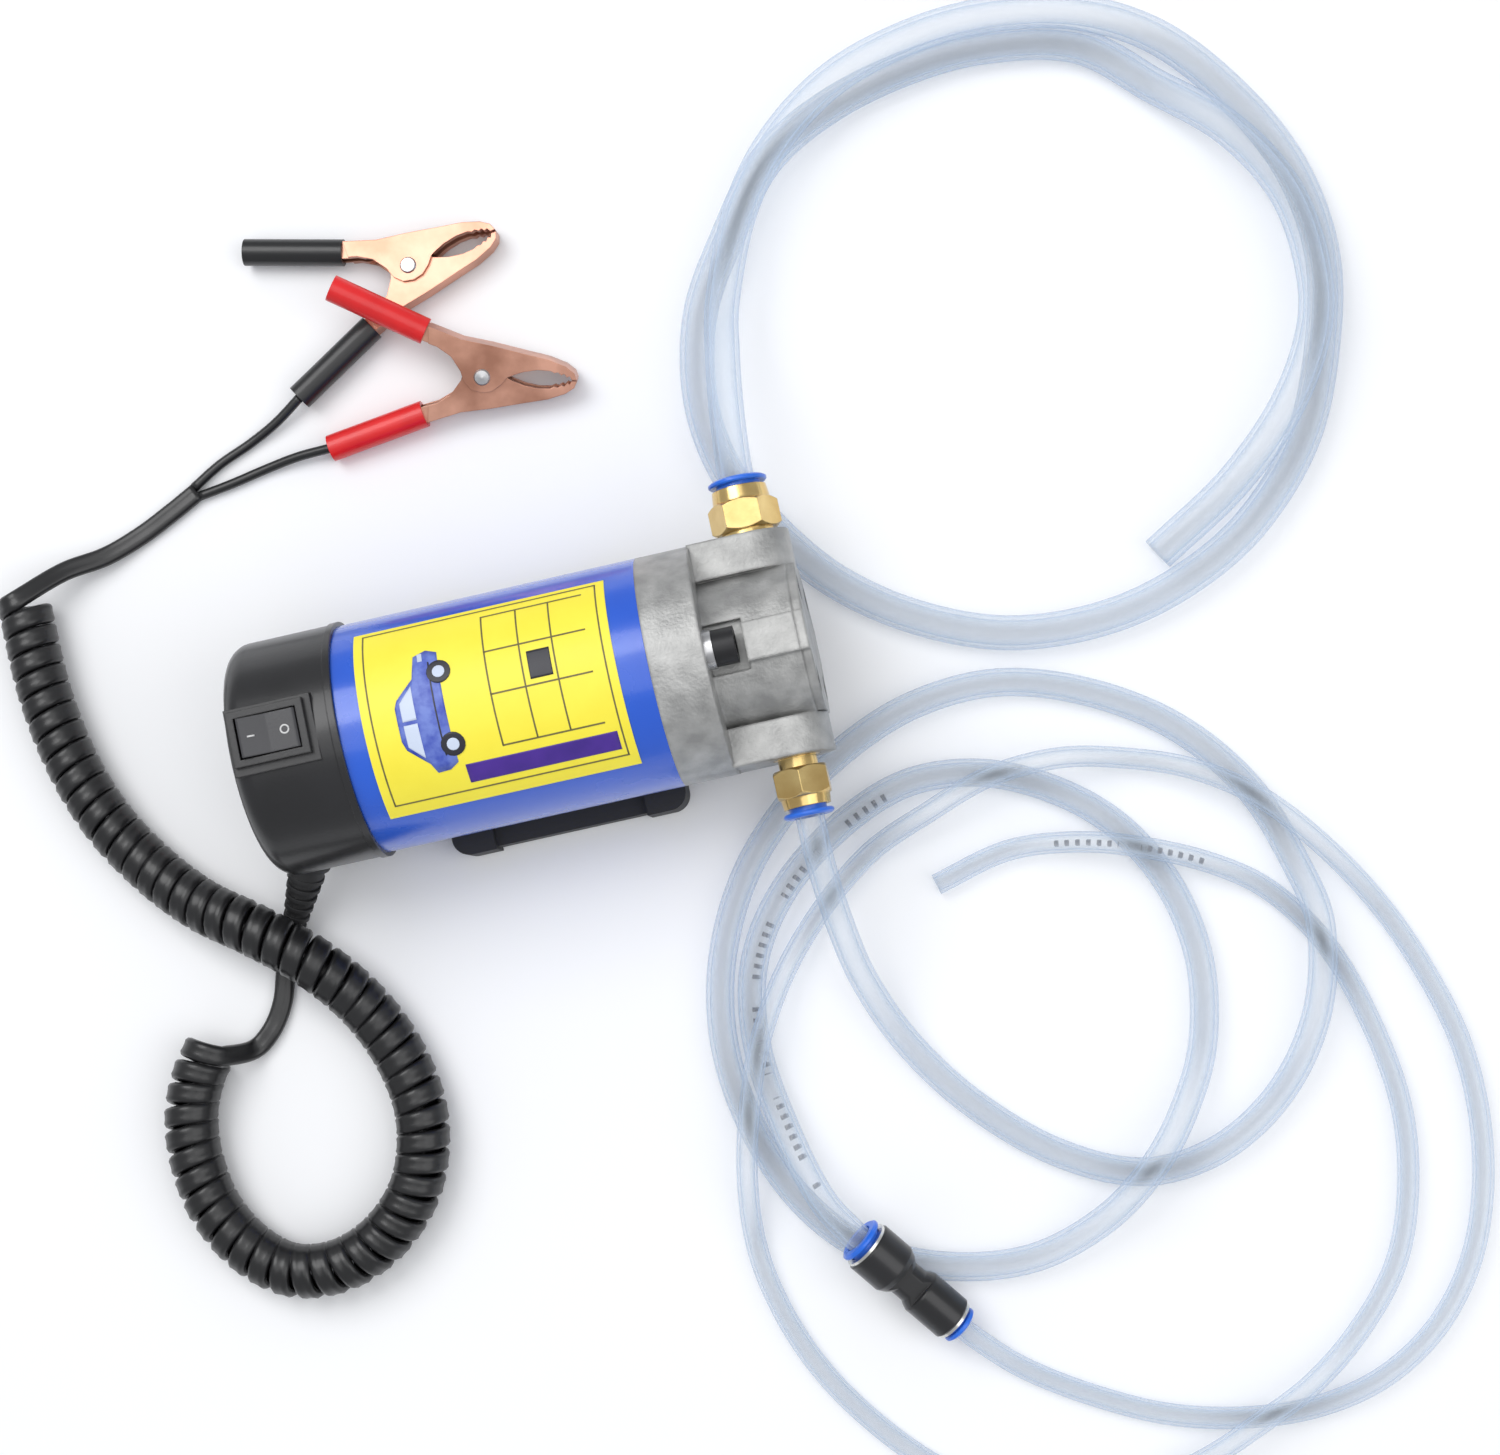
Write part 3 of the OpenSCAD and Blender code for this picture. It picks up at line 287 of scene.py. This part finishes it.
def clear_material(name, printed=None):
    """Clear soft PVC, see-through in the middle and milky at its edges.

    printed is the (start, end) in metres along the hose between which it has dashed marks.
    """
    m = bpy.data.materials.new(name)
    m.use_nodes = True
    nt = m.node_tree
    bsdf = nt.nodes["Principled BSDF"]
    add = nt.nodes.new
    coord = add("ShaderNodeTexCoord")
    noise = add("ShaderNodeTexNoise")
    noise.inputs["Scale"].default_value = 45
    nt.links.new(coord.outputs["Object"], noise.inputs["Vector"])
    tint = add("ShaderNodeValToRGB")
    tint.color_ramp.elements[0].color = (0.74, 0.84, 0.97, 1)
    tint.color_ramp.elements[1].color = (0.88, 0.94, 1.0, 1)
    nt.links.new(noise.outputs["Fac"], tint.inputs["Fac"])
    facing = add("ShaderNodeLayerWeight")
    facing.inputs["Blend"].default_value = 0.4
    rim = add("ShaderNodeMix")
    rim.data_type = "RGBA"
    nt.links.new(facing.outputs["Facing"], rim.inputs["Factor"])
    nt.links.new(tint.outputs["Color"], rim.inputs["A"])
    rim.inputs["B"].default_value = (0.40, 0.56, 0.80, 1)
    color = rim.outputs["Result"]
    solid = add("ShaderNodeMapRange")
    solid.inputs["To Min"].default_value = 0.07
    solid.inputs["To Max"].default_value = 0.7
    nt.links.new(facing.outputs["Facing"], solid.inputs["Value"])
    alpha = solid.outputs["Result"]
    if printed:
        start, end = printed
        split = add("ShaderNodeSeparateXYZ")
        nt.links.new(coord.outputs["UV"], split.inputs["Vector"])

        def test(op, a, b):
            q = add("ShaderNodeMath")
            q.operation = op
            for i, v in enumerate((a, b)):
                if isinstance(v, float):
                    q.inputs[i].default_value = v
                else:
                    nt.links.new(v, q.inputs[i])
            return q.outputs[0]

        run, around = split.outputs["X"], split.outputs["Y"]
        mark = test("MULTIPLY", test("GREATER_THAN", run, start), test("LESS_THAN", run, end))
        mark = test("MULTIPLY", mark, test("LESS_THAN", test("MODULO", run, 0.0031), 0.0012))
        mark = test("MULTIPLY", mark, test("LESS_THAN", test("MODULO", run, 0.026), 0.019))
        mark = test("MULTIPLY", mark, test("GREATER_THAN", around, 0.70))
        mark = test("MULTIPLY", mark, test("LESS_THAN", around, 0.80))
        ink = add("ShaderNodeMix")
        ink.data_type = "RGBA"
        nt.links.new(mark, ink.inputs["Factor"])
        nt.links.new(color, ink.inputs["A"])
        ink.inputs["B"].default_value = (0.12, 0.12, 0.14, 1)
        color = ink.outputs["Result"]
        alpha = test("MAXIMUM", alpha, test("MULTIPLY", mark, 0.75))
    nt.links.new(color, bsdf.inputs["Base Color"])
    nt.links.new(alpha, bsdf.inputs["Alpha"])
    gloss = add("ShaderNodeMapRange")
    gloss.inputs["To Min"].default_value = 0.06
    gloss.inputs["To Max"].default_value = 0.2
    nt.links.new(noise.outputs["Fac"], gloss.inputs["Value"])
    nt.links.new(gloss.outputs["Result"], bsdf.inputs["Roughness"])
    bsdf.inputs["IOR"].default_value = 1.5
    return m


LOOKS = {
    "blue_paint": dict(
        color=(0.012, 0.11, 0.66), second=(0.01, 0.09, 0.58), rough=0.28, scale=25, bump=0.06,
        bump_scale=700, coat=0.6, edge=0.0003),
    "yellow_label": dict(
        color=(0.95, 0.83, 0.06), second=(0.92, 0.79, 0.05), rough=0.45, scale=90, bump=0.04,
        bump_scale=1500),
    "ferrite": dict(color=(0.10, 0.10, 0.11), rough=0.7, bump=0.3),
    "steel": dict(
        color=(0.66, 0.66, 0.67), metallic=1, rough=0.3, scale=120, bump=0.12, stretch=(0.3, 1, 1)),
    "copper": dict(
        color=(0.74, 0.40, 0.29), second=(0.46, 0.22, 0.15), metallic=1, rough=0.36,
        rough_spread=0.14, scale=75, bump=0.12, bump_scale=500, edge=0.0003),
    "cast_aluminium": dict(
        color=(0.50, 0.50, 0.49), second=(0.34, 0.34, 0.335), metallic=0.75, rough=0.5,
        rough_spread=0.12, scale=160, bump=0.55, bump_scale=1100, depth=0.0003, edge=0.0012),
    "carbon": dict(color=(0.04, 0.04, 0.04), rough=0.8, bump=0.3),
    "rubber": dict(color=(0.018, 0.018, 0.019), rough=0.5, bump=0.2, edge=0.0004),
    "black_steel": dict(
        color=(0.022, 0.022, 0.024), metallic=0.4, rough=0.4, bump=0.2, edge=0.0003),
    "brass": dict(
        color=(0.83, 0.62, 0.27), second=(0.66, 0.45, 0.17), metallic=1, rough=0.2,
        rough_spread=0.08, scale=110, bump=0.08, edge=0.0004),
    "blue_plastic": dict(
        color=(0.015, 0.16, 0.80), rough=0.3, scale=80, bump=0.06, coat=0.3, edge=0.0003),
    "black_plastic": dict(
        color=(0.014, 0.014, 0.016), second=(0.010, 0.010, 0.011), rough=0.32, rough_spread=0.07,
        scale=40, bump=0.16, bump_scale=1300, depth=0.00015, coat=0.15, edge=0.0005),
    "black_rubber_foot": dict(
        color=(0.016, 0.016, 0.018), rough=0.6, bump=0.35, bump_scale=1200, edge=0.0006),
    "black_pvc": dict(
        color=(0.012, 0.012, 0.013), rough=0.34, bump=0.1, bump_scale=600, coat=0.1, edge=0.0003),
    "red_pvc": dict(
        color=(0.78, 0.012, 0.014), second=(0.66, 0.01, 0.012), rough=0.35, scale=60, bump=0.12,
        coat=0.2, edge=0.0003),
    "pale_metal": dict(color=(0.78, 0.77, 0.73), metallic=1, rough=0.25, bump=0.1),
    "rocker_grey": dict(
        color=(0.05, 0.05, 0.055), rough=0.35, bump=0.15, bump_scale=1500, edge=0.0005),
    "mark_white": dict(color=(0.75, 0.75, 0.75), rough=0.5, bump=0.05),
    "label_ink": dict(color=(0.16, 0.14, 0.05), rough=0.5, scale=200, bump=0.05),
    "label_violet": dict(
        color=(0.07, 0.02, 0.30), second=(0.05, 0.015, 0.24), rough=0.45, scale=120, bump=0.05),
    "label_blue": dict(
        color=(0.03, 0.06, 0.42), second=(0.15, 0.22, 0.62), rough=0.4, scale=260, bump=0.05),
    "label_dark": dict(color=(0.02, 0.02, 0.03), rough=0.4, bump=0.05),
    "label_pale": dict(color=(0.62, 0.70, 0.86), rough=0.4, bump=0.05),
}
M = {name: material(name, **look) for name, look in LOOKS.items()}
M["clear_pvc"] = clear_material("clear_pvc")


def finish(o, name):
    o.data.materials.clear()
    o.data.materials.append(M[name])


for part in frame["record"]["subparts"]:
    finish_name = part["material_slot"]
    obj = nodes[part["node"]]
    for slot in obj.material_slots:
        slot.material = M[finish_name]
for slot in nodes["switch_rocker"].material_slots:
    slot.material = M["rocker_grey"]

# ---- cords ---------------------------------------------------------------------------------


def hose(node, points, outer, inner, printed=None):
    path = [Vector((p.x, p.y, max(p.z, outer * MM))) for p in smooth(points)]
    o = sweep(node + "_tube", path, circle(outer * MM), inner=circle(inner * MM))
    M["clear_" + node] = clear_material("clear_" + node, printed)
    finish(o, "clear_" + node)
    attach(o, "pump")
    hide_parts(node)
    return o, path


def two_core(w):
    """Section of a flat twin lead, w metres wide: two round cores side by side."""
    r = w / 4
    angles = [math.radians(a) for a in range(-120, 121, 40)]
    right = [(r + r * math.cos(a), r * math.sin(a)) for a in angles]
    left = [(-x, -y) for x, y in right]
    return right + left


def power_cord():
    """The flat twin lead from the pump, through its coil, to where it splits."""
    axis = smooth(CURL, 0.3)
    run = run_length(axis)
    side = carried(axis)
    t = tangents(axis)
    pitch, radius, steps = 0.0061, 0.0063, 16
    first_phase = 1.25 * math.pi
    # an eighth of a turn over a whole number, so both ends leave the coil in line with the lead
    count = round(run[-1] / pitch) * steps + steps // 8
    coil, hints = [], []
    j = 0
    for i in range(count + 1):
        s = run[-1] * i / count
        while j < len(run) - 2 and run[j + 1] < s:
            j += 1
        f = (s - run[j]) / (run[j + 1] - run[j])
        a = side[j]
        b = t[j].cross(a)
        phase = 2 * math.pi * i / steps + first_phase
        outwards = math.cos(phase) * a + math.sin(phase) * b
        coil.append(axis[j].lerp(axis[j + 1], f) + radius * outwards)
        hints.append(t[j].copy())
    # each lead's curve takes in the coil's last step, for its direction, and then drops it
    lead = smooth(SUPPLY + [tuple(coil[0] / MM), tuple(coil[1] / MM)], 1.5)[:-3]
    tail = smooth([tuple(coil[-2] / MM), tuple(coil[-1] / MM)] + TWIN, 1.5)[3:]
    centre = lead + coil + tail
    up = Vector((0, 0, 1))
    hint = [up.cross(v) for v in tangents(lead)] + hints + [up.cross(v) for v in tangents(tail)]
    for _ in range(6):
        middle = [(hint[i - 1] + 2 * hint[i] + hint[i + 1]).normalized()
                  for i in range(1, len(hint) - 1)]
        hint = [hint[0]] + middle + [hint[-1]]
    o = sweep("power_cord", centre, two_core(0.0058), sides=hint)
    finish(o, "black_pvc")
    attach(o, "pump")
    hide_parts("supply_lead", "curly_lead", "twin_lead")
    return o, centre


def wire(node, points):
    path = smooth(points, 1.5)
    o = sweep(node + "_core", path, circle(0.00142, 12))
    finish(o, "black_pvc")
    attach(o, "pump")
    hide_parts(node)
    return o, path


def total(path):
    return run_length(path)[-1]


outlet, outlet_path = hose("outlet_hose", OUTLET, 5, 3.6)
inlet, inlet_path = hose("inlet_hose", INLET, 4, 2.9, (0.86, 0.99))
suction, suction_path = hose("suction_hose", SUCTION, 3, 2.15, (0.93, 0.985))
cord, cord_path = power_cord()
black, black_path = wire("black_wire", BLACK_WIRE)
red, red_path = wire("red_wire", RED_WIRE)

# ---- label print ---------------------------------------------------------------------------

AXIS_Z = 0.035
LABEL_R = 0.03234       # the print's outer face
ROUND_R = 0.0322        # the radius that distances round the can are measured at
PRINT_T = 0.00009       # how thick a printed shape is


def wrapped(name, outline, mat, lift=0.0):
    """A flat shape on the label: outline is (x, y) in mm, y measured round the can from its top."""
    r = LABEL_R + lift
    xs = sorted({round(p[0], 3) for p in outline})
    lo, hi = xs[0], xs[-1]
    strips, rows = 24, 12
    cuts = sorted(set(xs) | {lo + (hi - lo) * k / strips for k in range(strips + 1)})

    def span(x):
        ys = []
        n = len(outline)
        for i in range(n):
            (x0, y0), (x1, y1) = outline[i], outline[(i + 1) % n]
            if min(x0, x1) - 1e-6 <= x <= max(x0, x1) + 1e-6:
                if abs(x1 - x0) < 1e-6:
                    ys += [y0, y1]
                else:
                    ys.append(y0 + (y1 - y0) * (x - x0) / (x1 - x0))
        return min(ys), max(ys)

    verts, faces = [], []
    for depth in (0, -PRINT_T):
        for x in cuts:
            y0, y1 = span(x)
            for k in range(rows + 1):
                a = (y0 + (y1 - y0) * k / rows) * MM / ROUND_R
                q = r + depth
                verts.append((x * MM, q * math.sin(a), AXIS_Z + q * math.cos(a)))
    w = rows + 1
    half = len(cuts) * w
    for i in range(len(cuts) - 1):
        for k in range(rows):
            f = [i * w + k, (i + 1) * w + k, (i + 1) * w + k + 1, i * w + k + 1]
            faces.append(f[::-1])
            faces.append([v + half for v in f])
    rim = [i * w for i in range(len(cuts))] + [(len(cuts) - 1) * w + k for k in range(1, w)]
    rim += [i * w + rows for i in range(len(cuts) - 2, -1, -1)]
    rim += list(range(rows - 1, 0, -1))
    for a, b in zip(rim, rim[1:] + rim[:1]):
        faces.append([a, b, b + half, a + half])
    o = link(name, verts, faces)
    finish(o, mat)
    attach(o, "pump")
    return o


def rect(x0, x1, y0, y1):
    return [(x0, y0), (x1, y0), (x1, y1), (x0, y1)]


LINE = 0.45
BACK, FRONT, RIGHT, LEFT = -38.8, 26.0, -25.0, 27.5
wrapped("label_border_a", rect(BACK, FRONT, RIGHT, RIGHT + LINE), "label_ink")
wrapped("label_border_b", rect(BACK, FRONT, LEFT - LINE, LEFT), "label_ink")
wrapped("label_border_c", rect(BACK, BACK + LINE, RIGHT, LEFT), "label_ink")
wrapped("label_border_d", rect(FRONT - LINE, FRONT, RIGHT, LEFT), "label_ink")
for i, x in enumerate((-6.0, 3.5, 12.5)):
    wrapped("label_column_%d" % i, rect(x, x + LINE, -14.0, 24.5), "label_ink")
for i, y in enumerate((-14.0, 0.0, 12.0, 24.2)):
    wrapped("label_row_%d" % i, rect(-6.0, 22.0, y, y + LINE), "label_ink")
wrapped("label_bar", rect(-17.0, 24.5, -22.5, -16.8), "label_violet")
wrapped("label_square", rect(5.4, 11.6, 1.8, 9.6), "label_dark")
CAR = [
    (-18.5, -15.5), (-21, -17.2), (-24.5, -17.4), (-25.8, -14.5), (-31, -9.5), (-31.8, -7),
    (-31.8, 2), (-31, 4), (-26, 9), (-25, 15.5), (-21.5, 16.8), (-18.5, 15.5),
]
wrapped("label_car_body", CAR, "label_blue", 0.00004)
PANE_LIFT, TYRE_LIFT, RIM_LIFT = 0.0001, 0.00012, 0.0002
FRONT_PANE = [(-26.6, -12.6), (-30.4, -8.8), (-30.4, -3), (-26.6, -3)]
REAR_PANE = [(-26.6, -2), (-30.4, -2), (-30.4, 3), (-26.6, 7.2)]
wrapped("label_car_front_pane", FRONT_PANE, "label_pale", PANE_LIFT)
wrapped("label_car_rear_pane", REAR_PANE, "label_pale", PANE_LIFT)
wrapped("label_car_lamp", rect(-23.9, -22.6, 13.6, 16.0), "label_pale", PANE_LIFT)
wrapped("label_car_sill", rect(-21.3, -20.9, -13, 13), "label_dark", PANE_LIFT)
AXLE_X = -18.6
for i, y in enumerate((-10.4, 9.6)):
    for part, r, mat, lift in (("tyre", 3.3, "label_dark", TYRE_LIFT),
                               ("rim", 1.7, "label_pale", RIM_LIFT)):
        turn = [math.radians(a) for a in range(0, 360, 20)]
        ring = [(AXLE_X + r * math.cos(a), y + r * math.sin(a)) for a in turn]
        wrapped("label_car_%s_%d" % (part, i), ring, mat, lift)

# ---- switch marks --------------------------------------------------------------------------

PIVOT = Vector((-0.066, 0.003, 0.0678))
TILT = Matrix.Rotation(math.radians(6), 3, "Y")


def rocker_mark(name, points, closed):
    """A thin raised line on the rocker; points are (x, y, z) in its own frame, in mm."""
    pts = [PIVOT + TILT @ (Vector(p) * MM) for p in points]
    if closed:
        pts = pts + [pts[0]]
    o = sweep(name, pts, circle(0.00025, 8))
    finish(o, "mark_white")
    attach(o, "rocker")


def top(x):
    """Height of the rocker's face, in mm: it rises from the middle towards both ends."""
    return 2.1 + 0.7 * min(abs(x), 7.2) / 7.2 + 0.05


RING_X, RING_R = 4.5, 1.1
ring = [(RING_X + RING_R * math.cos(math.radians(a)), RING_R * math.sin(math.radians(a)))
        for a in range(0, 360, 24)]
rocker_mark("rocker_mark_on", [(x, 0, top(x)) for x in (-5.6, -4.6, -3.6)], False)
rocker_mark("rocker_mark_off", [(x, y, top(x)) for x, y in ring], True)

# ---- stage ---------------------------------------------------------------------------------


def add_stage():
    s, z = 3.0, -0.0002
    corners = [(-s, -s, z), (s, -s, z), (s, s, z), (-s, s, z)]
    floor = link("floor", corners, [(0, 1, 2, 3)], flat=True)
    paper = material("floor_paper", (0.93, 0.935, 0.95), (0.92, 0.925, 0.94), rough=0.8,
                     rough_spread=0.05, scale=3, bump=0.02)
    floor.data.materials.append(paper)
    for name, place, size, power in (("key", (-0.5, 0.7, 1.3), 1.0, 9.5),
                                     ("fill", (0.9, -0.5, 1.2), 1.2, 5),
                                     ("over", (0.1, 0.1, 1.7), 1.6, 7)):
        data = bpy.data.lights.new(name, "AREA")
        data.shape = "DISK"
        data.size = size
        data.energy = power
        lamp = bpy.data.objects.new(name, data)
        lamp.location = place
        aim = Vector((0.05, 0, 0)) - Vector(place)
        lamp.rotation_euler = aim.to_track_quat("-Z", "Y").to_euler()
        bpy.context.collection.objects.link(lamp)
    world = bpy.data.worlds.new("studio")
    world.use_nodes = True
    sky = world.node_tree.nodes["Background"].inputs
    sky["Color"].default_value = (0.95, 0.97, 1.0, 1)
    sky["Strength"].default_value = 0.52
    bpy.context.scene.world = world


add_stage()
bpy.context.scene.view_settings.view_transform = "Standard"
